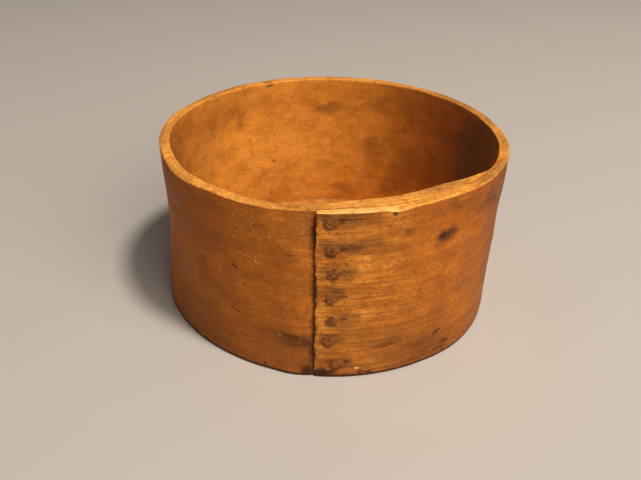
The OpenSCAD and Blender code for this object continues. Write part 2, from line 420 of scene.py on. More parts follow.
band = {
    "radius": 0.1200, "height": 0.1220, "thick": 0.0070,
    "seam": 266, "lap": 64, "lead": 15, "tuck": 44,              # degrees round the axis
    "lapGap": 0.0002, "skiveGap": 0.00035, "tailThick": 0.0010, "tailArc": 17,
    "rimRound": 0.0008, "footRound": 0.0008,
    "steps": 660, "rowsOut": 62, "rowsIn": 50, "crowding": 0.45,
    "flush": 0.0013, "footFlush": 0.0007, "rimDip": 0.0010,      # how the tucked strip leaves its arcs
    "plump": 0.0017,                               # how much thicker it is towards the rim
    "rimLoss": 0.0001, "rimWaves": 0.00022, "fray": 0.00025, "tailLoss": 0.0008, "rimDeep": 0.014,
    "footLoss": 0.0003, "wallWaves": 0.0004, "faceWaves": 0.00016,
    "rubOut": 0.0009, "rubIn": 0.0021,             # how far down hands and grain have rubbed the arrises
    "cutLong": 0.0020, "jagLong": 0.0026,          # the hand-cut end, and the dirt and painted shade on it
    "seamDark": 0.76, "seamWide": 0.0050, "seamReach": 0.0060,   # dirt and painted shade in the corner under the outer end
    "gapDark": 0.85, "gapLong": 0.06,              # painted shade in the line between the two layers, seen from above
    # the foot: darker towards it, and a painted contact shadow along its bottom edge
    "endBright": 0.55, "arrisBright": 0.22, "footDarkening": 0.3, "footShadow": 0.98,
}
# marks, in degrees and mm, on side 1 (outside) or -1 (inside)
# hard marks: side, angle, height, half length, half height, tilt, dip, how dark
bandMarks = [
    (1, 306.5, 96.3, 9.8, 5.8, 4, 0.3, 0.74), (1, 305.2, 96.2, 5.6, 4.4, 0, 0.3, 0.98),
    (1, 308.8, 97.2, 5.6, 3.0, 8, 0.1, 0.70), (1, 288.2, 118.8, 2.8, 2.2, -30, 0.6, 0.90),
    (1, 306.6, 21.4, 5.4, 3.8, 26, 0.3, 0.60), (1, 310.6, 10.4, 7.6, 3.2, -8, 0.3, 0.62),
    (1, 300.0, 40.0, 3.0, 2.6, 0, 0.1, 0.4), (1, 287.2, 23.6, 14.0, 3.0, 2, 0.1, 0.66),
    (1, 259.6, 30.2, 10.5, 4.2, -5, 0.1, 0.66), (1, 263.2, 27.0, 5.0, 6.4, 0, 0.1, 0.62),
    (1, 269.4, 28.6, 6.6, 2.6, 0, 0.1, 0.60), (1, 280.6, 4.2, 3.0, 1.4, -10, 0.5, 1.0),
    (1, 283.0, 3.0, 4.0, 1.2, 15, 0.4, 0.9), (1, 273.4, 10.6, 1.8, 1.4, -30, 0.4, 1.0),
    (1, 255.3, 30.8, 2.2, 1.5, -30, 0.4, 0.0), (1, 248.5, 106.8, 1.8, 2.2, -45, 0.5, 0.25),
    (1, 240.5, 74.6, 3.0, 1.8, -30, 0.5, 0.35), (1, 257.9, 91.9, 3.2, 1.5, -8, 0.4, 0.15),
    (1, 240.4, 41.0, 4.8, 1.5, -11, 0.3, 0.0), (1, 255.8, 51.7, 2.2, 1.6, -50, 0.3, 0.0),
    (1, 231.0, 110.0, 2.2, 1.6, 0, 0.2, 0.4), (1, 268.4, 3.4, 9.5, 5.4, 4, 0.2, 1.0),
    (1, 271.6, 5.0, 5.0, 3.4, 25, 0.2, 0.8), (1, 263.6, 3.8, 5.6, 6.6, 0, 0.0, 0.95),
    (1, 264.4, 19.5, 2.4, 4.6, 0, 0.1, 0.7), (1, 276.0, 101.0, 2.0, 1.0, 30, 0.3, 0.6),
    (-1, 118.6, 118.9, 5.2, 1.3, 6, 0.5, 0.85), (-1, 148.2, 89.6, 3.0, 2.8, 0, 0.2, 0.55),
    (-1, 142.8, 108.1, 3.0, 2.6, 0, 0.2, 0.48), (-1, 128.8, 73.5, 3.0, 2.6, 10, 0.2, 0.58),
    (-1, 125.0, 71.7, 2.6, 2.4, 0, 0.2, 0.52), (-1, 162.0, 70.4, 3.4, 3.0, 0, 0.2, 0.58),
    (-1, 118.8, 19.3, 3.0, 2.8, 0, 0.3, 0.58), (-1, 117.3, 50.4, 2.8, 2.6, 0, 0.2, 0.55),
    (-1, 122.9, 42.9, 2.8, 2.4, 0, 0.2, 0.54), (-1, 120.9, 109.3, 2.6, 2.0, 0, 0.2, 0.5),
    (-1, 133.0, 90.6, 2.8, 2.6, 0, 0.2, 0.48), (-1, 113.9, 86.7, 2.6, 2.2, 0, 0.2, 0.46),
    (-1, 97.0, 96.5, 3.0, 2.4, 0, 0.2, 0.6),
]
# nicks finer than the mesh: side, angle, height, half length, half width, tilt, how dark (pale below 0)
bandNicks = [
    (1, 248.3, 106.8, 2.2, 0.85, -48, 0.95), (1, 252.6, 102.7, 2.6, 0.5, 87, -0.45),
    (1, 257.9, 91.9, 3.6, 0.7, -8, 0.75), (1, 240.5, 74.7, 2.6, 0.9, -28, 1.0),
    (1, 240.4, 41.0, 5.4, 0.6, -11, 0.85), (1, 255.8, 51.7, 2.0, 0.6, -52, 0.8),
    (1, 248.1, 82.3, 1.8, 0.8, -40, -0.55), (1, 247.1, 62.2, 2.6, 0.5, -40, 0.35),
    (1, 255.3, 31.2, 1.6, 0.8, -32, -0.4), (1, 306.7, 21.6, 4.4, 1.3, 26, 0.75),
    (1, 311.3, 10.0, 5.6, 0.7, -10, 0.7), (1, 283.0, 2.6, 5.4, 0.7, -18, 0.95),
    (1, 274.7, 87.3, 1.8, 0.6, -49, 0.7), (1, 281.7, 66.4, 3.4, 0.5, -51, 0.35),
    (1, 276.0, 101.0, 2.2, 0.6, 30, 0.6), (1, 222.0, 96.0, 2.4, 0.7, -40, 0.7),
    (1, 228.5, 72.0, 2.0, 0.5, 20, 0.4), (1, 330.0, 52.0, 3.4, 0.6, 12, 0.6),
    (1, 352.0, 84.0, 2.6, 0.7, -35, 0.8), (1, 18.0, 30.0, 5.0, 0.5, 8, 0.6),
    (1, 44.0, 98.0, 2.2, 0.8, 40, 0.8), (1, 72.0, 56.0, 4.0, 0.6, -16, 0.7),
    (1, 101.0, 88.0, 2.4, 0.7, -50, 0.9), (1, 127.0, 40.0, 3.0, 0.6, 24, 0.7),
    (1, 149.0, 70.0, 2.0, 0.8, -30, 0.9), (1, 178.0, 104.0, 3.0, 0.5, 6, 0.6),
    (1, 196.0, 38.0, 3.4, 0.6, -22, 0.7), (-1, 84.0, 40.0, 2.6, 0.6, 30, 0.5),
    (-1, 152.0, 34.0, 2.2, 0.6, -20, 0.5), (-1, 58.0, 84.0, 3.0, 0.6, 14, 0.5),
]
# soft dirt and painted shade: side, angle, height, half length, half height, tilt, strength; the broad
# patches inside from 8° to 36° are painted shade on the shaded right of the inner face, partly dirt, and
# those inside at 164° and 186° darken the inner left wall
bandGrimeAndShade = [
    (1, 274.5, 117.5, 22, 5.4, 2, 0.95), (1, 279.3, 99.7, 27, 7.2, -1, 0.94),
    (1, 288.0, 95.0, 15, 3.0, 0, 0.42), (1, 273.0, 82.5, 12, 7.5, 0, 0.78),
    (1, 271.8, 65.0, 12, 7.0, 0, 0.78), (1, 274.0, 48.0, 16, 5.6, 0, 0.74),
    (1, 270.5, 30.5, 9, 5.0, 0, 0.60), (1, 274.0, 10.5, 9, 4.0, 8, 0.75),
    (1, 288.5, 24.6, 18, 4.8, 3, 0.80), (1, 304.0, 6.5, 20, 6.0, 6, 0.65),
    (1, 310.1, 114.2, 9, 5.0, -8, 0.55), (1, 303.5, 113.0, 16, 5.0, -3, 0.40),
    (1, 306.5, 96.0, 12, 7.0, 0, 0.60), (1, 292.9, 105.0, 4.6, 3.8, 0, 0.75),
    (1, 320.0, 112.0, 22, 9.0, 0, 0.5), (1, 332.0, 92.0, 20, 30.0, 0, 0.35),
    (1, 269.0, 3.0, 16, 8.0, 4, 0.95), (1, 260.8, 28.4, 16, 8.0, 0, 0.85),
    (1, 250.4, 30.8, 5, 6.0, 0, 0.55), (1, 264.8, 18.0, 6, 14.0, 0, 0.85), (1, 263.5, 4.0, 8, 9.0, 0, 0.95),
    (1, 264.6, 112.0, 4, 16.0, 0, 0.6), (1, 226.0, 12.0, 48, 18.0, 0, 0.55),
    (1, 298.0, 22.0, 40, 26.0, 0, 0.45), (1, 256.0, 26.0, 30, 18.0, 0, 0.40),
    (1, 260.0, 12.0, 22, 16.0, 0, 0.30), (1, 259.0, 109.0, 17, 18.0, 0, 0.46),
    (1, 274.0, 41.0, 11, 6.0, 0, 0.50), (1, 278.5, 28.0, 15, 7.0, 0, 0.42),
    (1, 281.0, 8.0, 13, 6.5, 0, 0.55), (1, 306.0, 40.0, 10, 9.0, 0, 0.40),
    (1, 310.0, 11.0, 28, 12.0, 0, 0.38), (1, 333.0, 36.0, 36, 62.0, 0, 0.36),
    (1, 335.0, 108.0, 24, 20.0, 0, 0.42), (1, 226.0, 33.0, 28, 13.0, 0, 0.32),
    (1, 278.0, 112.0, 18, 6.5, 0, 0.34), (1, 286.0, 52.0, 12, 6.0, 0, 0.34),
    (1, 347.0, 62.0, 36, 110.0, 0, 0.60), (1, 336.0, 114.0, 40, 19.0, 3, 0.55),
    (1, 327.0, 109.0, 26, 13.0, 4, 0.62), (1, 344.0, 104.0, 22, 30.0, 0, 0.45),
    (1, 303.5, 15.5, 36, 4.8, -19, 0.40), (1, 300.0, 5.0, 40, 6.0, -3, 0.35),
    (1, 285.0, 28.4, 16, 4.0, -2, 0.34), (-1, 164.0, 76.0, 52, 80.0, 0, 0.34),
    (-1, 186.0, 84.0, 46, 84.0, 0, 0.50), (-1, 8.0, 70.0, 58, 100.0, 0, 0.95),
    (1, 213.5, 25.5, 9, 5.0, -20, 0.55), (1, 232.0, 12.0, 16, 5.0, -4, 0.2),
    (1, 228.0, 60.0, 12, 14.0, 0, 0.3), (1, 293.0, 52.0, 6, 4.0, 0, 0.4), (1, 288.0, 65.0, 5, 8.0, 10, 0.3),
    (1, 284.0, 77.0, 5, 4.0, 0, 0.35), (1, 318.0, 60.0, 14, 20.0, 0, 0.3),
    (1, 20.0, 40.0, 26, 20.0, 5, 0.4), (1, 70.0, 80.0, 30, 16.0, -4, 0.4),
    (1, 120.0, 30.0, 30, 14.0, 3, 0.45), (1, 165.0, 75.0, 22, 18.0, 0, 0.4),
    (1, 95.0, 112.0, 20, 8.0, 0, 0.4), (-1, 92.5, 95.0, 17, 8.0, -3, 0.42),
    (-1, 84.0, 95.0, 14, 7.0, 8, 0.22), (-1, 132.4, 94.7, 6, 14.0, 0, 0.34),
    (-1, 138.0, 106.0, 36, 20.0, 0, 0.36), (-1, 124.0, 24.0, 42, 18.0, 0, 0.22),
    (-1, 59.0, 48.0, 18, 22.0, 0, 0.28), (-1, 83.4, 21.3, 13, 9.0, 10, 0.52),
    (-1, 71.4, 60.3, 16, 18.0, 0, 0.4), (-1, 70.0, 106.0, 14, 14.0, 0, 0.34),
    (-1, 112.0, 33.0, 18, 4.0, 5, 0.2), (-1, 62.0, 30.0, 20, 16.0, 0, 0.42),
    (-1, 36.0, 74.0, 74, 95.0, 0, 0.38), (-1, 22.0, 66.0, 54, 80.0, 0, 0.40),
    (-1, 60.0, 110.0, 26, 16.0, 0, 0.34), (-1, 91.5, 97.0, 10, 5.0, 10, 0.3),
    (-1, 150.0, 55.0, 9, 8.0, 0, 0.3), (-1, 200.0, 50.0, 30, 24.0, 4, 0.4),
    (-1, 20.0, 90.0, 26, 14.0, 0, 0.4), (-1, 235.0, 20.0, 24, 10.0, 0, 0.5),
]
# fresh chips: side, angle, height, half length, half height, tilt, paleness
paleMarks = [
    (1, 279.2, 7.3, 1.9, 1.4, 20, 1.0), (1, 281.6, 5.4, 2.4, 1.1, 25, 0.4),
    (1, 271.0, 112.4, 1.4, 0.9, -40, 0.5), (1, 304.5, 8.6, 5.0, 1.2, -14, 0.28),
    (1, 247.6, 109.0, 1.6, 1.3, -20, 0.5),
]
# bites out of the rim: angle, half width, depth
rimBites = [
    (119.2, 5.0, 0.3), (287.5, 4.0, 0.6), (228.0, 6.0, 0.5), (300.5, 5.0, 0.3), (205.0, 4.0, 0.4),
    (40.0, 6.0, 0.2), (160.0, 5.0, 0.2), (350.0, 5.0, 0.3),
]
# greyer stretches of the rim: first angle, last angle, fade in metres, strength
rimDirt = [
    (172, 199, 0.012, 0.34), (126, 158, 0.012, 0.42), (116.5, 122.5, 0.004, 0.70), (4, 52, 0.014, 0.66),
    (342, 6, 0.014, 0.40), (314, 346, 0.020, 0.66), (212, 232, 0.010, 0.12),
]
# where the rim's outer arris is rubbed away: angle, half width, depth
arrisWear = [
    (217.0, 24.0, 1.7), (290.5, 8.0, 1.4), (150.0, 30.0, 0.35), (60.0, 24.0, 0.3),
]
# where the wall has sprung out of round: angle, height, half width in degrees, half height, how far out
bandSprung = [
    (196, 0, 46, 56, 1.9), (194, 0, 26, 26, 1.4), (188, 68, 40, 30, -0.5), (183, 126, 40, 36, 1.5),
    (345, 126, 36, 44, 2.0), (344, 12, 27, 46, -0.9), (320, 0, 22, 30, 0.9), (218, 126, 16, 30, 1.2),
    (247, 126, 15, 30, 0.5), (279, 126, 20, 40, -1.9), (301, 126, 20, 40, -1.9), (90, 126, 50, 50, -0.5),
]

half = band["thick"] / 2
turnR = band["radius"] - half
tuckIn = band["thick"] + band["lapGap"]
seamA, tuckA = band["seam"] * deg, (band["seam"] - band["lead"]) * deg
midA, joinA = tuckA + band["tuck"] * deg / 2, tuckA + band["tuck"] * deg
tailA = (band["seam"] + band["lap"]) * deg
# the strip dips under its end on two arcs, a steep one and a flat one, and ends on a smaller round
tuckShift = tuckIn / (2 * (1 - math.cos(band["tuck"] * deg / 2)))
steepC, steepR = tuckShift * toward(tuckA), turnR - tuckShift
flatC, flatR = -tuckShift * toward(joinA), turnR - tuckIn + tuckShift
roundC, tailR = Vector((0, 0)), turnR - tuckIn
bandRuns = []                                      # centre, radius, first angle, last angle, length before it
bandLong = 0.0
for centre, radius, first, last in [
        (roundC, turnR, seamA, tuckA + 2 * math.pi), (steepC, steepR, tuckA, midA),
        (flatC, flatR, midA, joinA), (roundC, tailR, joinA, tailA)]:
    bandRuns.append((centre, radius, first, last, bandLong))
    bandLong += radius * (last - first)
onFlat = reach(flatC, flatR + half, seamA) * toward(seamA) - flatC
seamTurn = math.atan2(onFlat.y, onFlat.x) % (2 * math.pi)
tuckStart, flatStart, tailStart = (run[4] for run in bandRuns[1:])
seamUnder = flatStart + flatR * (seamTurn - midA)  # where the seam lies on the strip below it
tailLong = tailR * band["tailArc"] * deg
lapLong = turnR * band["lap"] * deg
noNick = (9, 9, 0)                                 # far from any, in half lengths and half widths


def bentPoint(along, depth):  # where a point of the flat plank ends up, seen from above
    for centre, radius, first, last, before in bandRuns:
        if along <= before + radius * (last - first):
            break
    return centre + (radius + depth) * toward(first + (along - before) / radius)


def springOut(angle, z):  # low down, the tucked strip is almost flush with its end
    swell = smoothStep(tuckA / deg, tuckA / deg + 11, angle) * (1 - smoothStep(272, 292, angle))
    out = band["flush"] * (1 - smoothStep(0.090, 0.117, z)) - band["rimDip"] * smoothStep(0.102, 0.120, z)
    return swell * (out + band["footFlush"] * (1 - smoothStep(0.0, 0.045, z)))


def planedOff(left, long):  # how much is planed off the tail, from its end
    return (band["thick"] - band["tailThick"]) * min(max(1 - left / long, 0), 1)


def underside(along, z):  # depth of the inner face, planed thin towards both ends
    low = -half
    if along < turnR * (joinA - seamA):
        a = seamA + along / turnR
        low = max(low, reach(flatC, flatR + half + band["skiveGap"], a) + springOut(a / deg, z) - turnR)
    return low + planedOff(bandLong - along, tailLong)


def outOfRound(angle, z):  # how far both layers of the wall stand off a true round
    c, s = math.cos(angle), math.sin(angle)
    waves = 1.3 * ripple(2.2 * c, 2.2 * s, 14 * z) + 0.5 * ripple(7 * c, 7 * s, 30 * z + 5)
    off = band["wallWaves"] * smoothStep(0.012, 0.075, z) * waves
    for at, height, wide, tall, out in bandSprung:
        turn = (angle / deg - at + 180) % 360 - 180
        sideways, upward = max(0.0, 1 - (turn / wide) ** 2), max(0.0, 1 - ((z * 1000 - height) / tall) ** 2)
        off += out / 1000 * sideways ** 2 * upward
    return off


def plump(angle, z):  # the tucked layer is thicker towards the rim
    overLap = smoothStep(267, 277, angle) * (1 - smoothStep(308, 328, angle))
    return band["plump"] * smoothStep(0.030, 0.105, z) * overLap


def innerFace(angle, z):  # from the axis to the wall's inner face, over the lap too
    a = angle % 360 * deg
    face = band["radius"] - band["thick"]
    if tuckA < a < midA:
        face = reach(steepC, steepR - half, a) + springOut(a / deg, z)
    elif midA <= a < joinA:
        face = reach(flatC, flatR - half, a) + springOut(a / deg, z)
    elif joinA <= a < tailA:
        face = tailR - half + planedOff(tailA - a, band["tailArc"] * deg)
    return face - plump(a / deg, z) + outOfRound(a, z)


def alongAt(angle):  # length along the plank of an angle on the main turn
    return turnR * ((angle - band["seam"]) % 360) * deg


def setMarks(marks):  # sorted by side: where each mark lies, and what it does
    placed = {1: [], -1: []}
    for side, angle, height, halfLong, halfTall, tilt, *values in marks:
        t, far = side * tilt * deg, max(halfLong, halfTall) / 1000
        placed[side].append(((alongAt(angle), height / 1000, halfLong / 1000, halfTall / 1000,
                              math.cos(t), math.sin(t), far), *values))
    return placed


def markDepth(shape, along, z, soft=False):  # 1 at the middle of a mark, 0 from its edge on
    at, height, halfLong, halfTall, c, s, far = shape
    da, dz = along - at, z - height
    if abs(da) > 1.6 * far or abs(dz) > 1.6 * far:
        return 0.0
    if soft:                                       # soft dirt spreads unevenly
        sideways = 0.55 * ripple(along * 40, z * 70, 3) + 0.30 * ripple(along * 110, z * 190, 7)
        upward = 0.75 * ripple(along * 45, z * 60, 11) + 0.45 * ripple(along * 120, z * 170, 15)
        da += min(far, 0.018) * sideways
        dz += min(halfTall, 0.012) * upward
    return max(0.0, 1 - ((da * c + dz * s) / halfLong) ** 2 - ((dz * c - da * s) / halfTall) ** 2)


def nickPlace(shape, dark, along, z):  # along it and across it, 1 at its edge, and how dark it is
    at, height, halfLong, halfTall, c, s, far = shape
    da, dz = along - at, z - height
    away = math.hypot(da, dz) - far
    if away > 0.007:
        return None
    return (da * c + dz * s) / halfLong, (dz * c - da * s) / halfTall, dark if away < 0.0032 else 0.0


nails = {
    "count": 7, "top": 0.115, "low": 0.0116, "set": 5,
    "drift": (-0.7, 0.0, 0.6, 0.2, 0.6, -0.2, 2.3),              # degrees along the row
    "sag": (0.2, 1.8, 0.5, 0.9, 0.6, -0.2, 0.8),                 # mm below an even spacing
    "head": 0.0048, "crown": 0.0012, "back": 0.0007, "blows": 5, "sink": 0.0008,
    "shank": 0.0026, "clinch": 0.0055,
}
nailStep = (nails["top"] - nails["low"]) / (nails["count"] - 1)
nailSpots = [(band["seam"] + nails["set"] + drift, nails["top"] - nailStep * i - sag / 1000)
             for i, (drift, sag) in enumerate(zip(nails["drift"], nails["sag"]))]
for nailA, nailZ in nailSpots:                     # bruised and blackened round the heads; the first mark is also painted shadow, a dark crescent at each head's lower left
    nailUp = nailZ * 1000
    bandMarks += [(1, nailA - 0.9, nailUp - 1.2, 5.3, 4.9, -25, 0.3, 0.95),
                  (1, nailA + 2.6, nailUp + 1.8, 6.0, 3.0, 12, 0.1, 0.6),
                  (1, nailA - 2.2, nailUp + 2.8, 4.6, 1.9, -6, 0.1, 0.55)]
    paleMarks.append((1, nailA - 2.5, nailUp - 4.4, 5.0, 3.8, -18, 0.24))
    bandGrimeAndShade += [(1, nailA + 1.6, nailUp + 0.8, 9.0, 5.0, 6, 0.6),
                  (1, nailA - 0.2, nailUp + 4.2, 11.0, 3.4, 3, 0.55)]

pegs = {
    "count": 12, "set": 14.5, "height": 0.0045, "radius": 0.00175, "taper": 0.93, "eased": 0.0003,
    "bite": 0.014, "proud": 0.0002,
}
pegAngles = [band["seam"] + pegs["set"] + 360 / pegs["count"] * i for i in range(pegs["count"])]
bandGrimeAndShade += [(1, pegA, pegs["height"] * 1000, 4.5, 3.4, 0, 0.5) for pegA in pegAngles]

darkMarks, thinMarks, dirtAndShadeMarks, lightMarks = map(setMarks, (bandMarks, bandNicks, bandGrimeAndShade, paleMarks))
bites, rubbed = ([(alongAt(a), wide / 1000, deep / 1000) for a, wide, deep in places]
                 for places in (rimBites, arrisWear))
rimGrime = [(alongAt(first), alongAt(last), fade, strength) for first, last, fade, strength in rimDirt]
rimGrime += [(tailStart + 0.004, tailStart + 0.052, 0.012, 0.65),
             (seamUnder - 0.026, seamUnder + 0.009, 0.009, 0.58)]


def planeBand():
    bm = bmesh.new()
    bmesh.ops.create_cube(bm, size=1)
    bmesh.ops.scale(bm, vec=(bandLong, band["thick"], band["height"]), verts=bm.verts)
    bmesh.ops.translate(bm, vec=(bandLong / 2, 0, band["height"] / 2), verts=bm.verts)

    def runningAlong(axis, least):                 # edges that run along one axis of the flat plank
        return [e for e in bm.edges if abs(e.verts[0].co[axis] - e.verts[1].co[axis]) > least]

    for rounding, level, segments in (("rimRound", band["height"], 4), ("footRound", 0.0, 2)):
        arrises = [e for e in runningAlong(0, bandLong / 2) if abs(e.verts[0].co.z - level) < 1e-6]
        bmesh.ops.bevel(bm, geom=arrises, offset=band[rounding], offset_type="OFFSET", segments=segments,
                        profile=0.5, affect="EDGES", material=-1)
    long = runningAlong(0, bandLong / 2)
    bmesh.ops.subdivide_edges(bm, edges=long, cuts=band["steps"] - 1, use_grid_fill=True)
    for side, rows in ((1, band["rowsOut"]), (-1, band["rowsIn"])):
        tall = [e for e in runningAlong(2, band["height"] / 2) if e.verts[0].co.y * side > 0]
        bmesh.ops.subdivide_edges(bm, edges=tall, cuts=rows - 1, use_grid_fill=True)
    bmesh.ops.subdivide_edges(bm, edges=runningAlong(1, band["thick"] / 3), cuts=2, use_grid_fill=True)
    return bm


def scooped(along, places):  # how deep a row of shallow scoops is here
    return sum(deep * max(0.0, 1 - ((along - at) / wide) ** 2) for at, wide, deep in places)


def rimLoss(along, depth, outEdge):  # how much wood the rim has lost here
    ring = math.atan2(*reversed(bentPoint(along, 0.0))) * turnR
    loss = band["rimLoss"] + band["rimWaves"] * ripple(ring * 28, 3.1)
    loss += band["fray"] * ripple(along * 150, depth * 260, 1.7) + scooped(along, bites)
    loss += outEdge * (band["fray"] * (0.6 + ripple(along * 90, 8.3)) + scooped(along, rubbed))
    return max(loss, 0) + band["tailLoss"] * smoothStep(bandLong - 0.009, bandLong, along)


def readMarks(side, along, z):  # what the marks do to a point of a face
    dip, stainAndShade, pale, nick = 0.0, 0.0, 0.0, noNick
    for shape, deep, dark in darkMarks[side]:
        d = markDepth(shape, along, z)
        if d > 0:
            dip, stainAndShade = max(dip, deep / 1000 * d * d), max(stainAndShade, dark * d)
    for shape, paleness in lightMarks[side]:
        pale = max(pale, paleness * markDepth(shape, along, z))
    for shape, dark in thinMarks[side]:
        nick = nickPlace(shape, dark, along, z) or nick
    return dip, stainAndShade, pale, nick


def settleDirtAndShade(side, along, z, grimeAndShade):  # soft dirt and painted shade, laid over what is there
    for shape, strength in dirtAndShadeMarks[side]:
        d = markDepth(shape, along, z, True)
        if d > 0:
            grimeAndShade += (1 - grimeAndShade) * strength * d * d * (3 - 2 * d)
    return grimeAndShade


def seamShadeAndDirt(along, z, onFace):  # dirt and painted shade in the corner under the outer end
    dark = 0.0
    away = abs(seamUnder - along)
    if away < band["seamReach"]:
        wide = band["seamWide"] + 0.0018 * ripple(z * 55, 4.4) + 0.0022 * ripple(z * 190, 1.2)
        dark = (band["seamDark"] + 0.35 * ripple(z * 40, 7.7)) * (1 - away / wide)
        dark *= 1 - 0.5 * smoothStep(0.108, 0.120, z)
    if onFace and along < band["jagLong"]:         # and jags of it on the cut edge itself
        dark = max(dark, (0.45 + 1.1 * ripple(z * 210, 3.3)) * (1 - along / band["jagLong"]))
    return dark


def rimDust(along, depth, grimeAndShade):  # the rim is greyer here and there
    for first, last, fade, strength in rimGrime:
        if first <= along <= last:
            fadeIn = min(min(along - first, last - along) / fade, 1)
            grimeAndShade = max(grimeAndShade, strength * fadeIn * (0.7 + 0.6 * ripple(along * 120, depth * 500)))
    return grimeAndShade


def wearBand(bm):
    plankLayer = bm.verts.layers.float_vector.new("plank")
    nickLayer = bm.verts.layers.float_vector.new("nick")
    layers = [bm.verts.layers.float.new(name) for name in ("stainAndShade", "pale", "worn", "grimeAndShade")]
    height, foot, top = band["height"], band["footRound"], band["height"] - band["rimRound"]
    for v in bm.verts:
        along, depth, z = v.co
        share = (z - foot) / (top - foot)
        if 0 < share < 1:                          # rows crowd towards the rim and the foot
            share -= band["crowding"] * math.sin(2 * math.pi * share) / (2 * math.pi)
            z = foot + (top - foot) * share
        side = 1 if depth > 0 else -1
        onFace = abs(depth) > half * 0.98
        meeting = side < 0 and along < lapLong or side > 0 and along > tuckStart + 0.03
        if z > top and meeting:                    # the two layers meet on crisp arrises where they lap
            z += (height - z) * 0.5
        v[plankLayer] = (along, depth, z)
        outEdge = smoothStep(half * 0.2, half, depth) if not meeting else 0
        rub = band["rubOut"] if side > 0 else band["rubIn"]
        edgeWear = smoothStep(height - rub, height - rub * 0.15, v[plankLayer].z)
        z -= smoothStep(height - band["rimDeep"], height, z) * rimLoss(along, depth, outEdge)
        z += band["footLoss"] * smoothStep(0.010, 0.0, z) * (1 + ripple(along * 45, 6.2))
        # marks, dirt and painted shade
        dip, stainAndShade, pale, v[nickLayer] = 0.0, 0.0, 0.0, noNick
        # darker towards the foot
        grimeAndShade = band["footDarkening"] * smoothStep(0.016, 0.0, z)
        if onFace:
            dip, stainAndShade, pale, v[nickLayer] = readMarks(side, along, z)
            grimeAndShade = settleDirtAndShade(side, along, z, grimeAndShade)
        past = along if side < 0 else along - seamUnder
        onTop = edgeWear > 0.5
        # painted shade in the gap between the two layers on the rim
        if onTop and meeting and abs(depth) > half * 0.9 and 0 < past < band["gapLong"]:
            stainAndShade = band["gapDark"] * (1 - past / band["gapLong"]) * smoothStep(0.0, 0.006, past)
        if onTop and 0.001 < along < 0.075 and depth > -half * 0.4:  # the outer end's top is brightest
            bright = band["endBright"] + 0.35 * ripple(along * 170, depth * 700, 6)
            pale = bright * (1 - smoothStep(0.040, 0.058, along))
        elif side > 0 and onFace and along < band["cutLong"]:        # its cut arris is rubbed in places
            pale = max(pale, band["arrisBright"] * ripple(z * 140, 9.4))
        # painted shade and dirt in the seam's corner, and on the cut end
        if side > 0:
            stainAndShade = max(stainAndShade, seamShadeAndDirt(along, z, onFace) * (1 - edgeWear))
        # a painted contact shadow along the foot
        stainAndShade = max(stainAndShade, band["footShadow"] * smoothStep(0.0038, 0.0010, z))
        if edgeWear > 0.9:
            grimeAndShade = rimDust(along, depth, grimeAndShade)
        for layer, value in zip(layers, (stainAndShade, pale, edgeWear, grimeAndShade)):
            v[layer] = value
        # thin the ends and sink the marks, then bend the plank round
        low = underside(along, z)
        depth = low + (depth + half) / band["thick"] * (half - low)
        depth -= side * (dip + band["faceWaves"] * ripple(along * 75, z * 120, side))
        if along < band["cutLong"]:                # the outer end is cut by hand
            ragged = 0.0008 * ripple(z * 60, 2.7) + 0.0013 * ripple(z * 240, 5.1)
            along += ragged * (1 - along / band["cutLong"])
        spot = bentPoint(along, depth)
        if along > tuckStart:
            turn = math.degrees(math.atan2(spot.y, spot.x)) % 360
            inward = 0.5 - v[plankLayer].y / band["thick"]             # 0 outside, 1 inside
            spot *= 1 + (springOut(turn, z) - plump(turn, z) * inward) / spot.length
        spot *= 1 + outOfRound(math.atan2(spot.y, spot.x), z) / spot.length
        v.co = (spot.x, spot.y, z)
    bm.normal_update()


bandMesh = planeBand()
wearBand(bandMesh)
print("band: %d faces bent and worn" % len(bandMesh.faces))
finishMesh(bandMesh, "bentBand", bandWood, "side_band", 50)


# nails, forged by hand: a faceted head outside, and a tip turned over on the inner layer

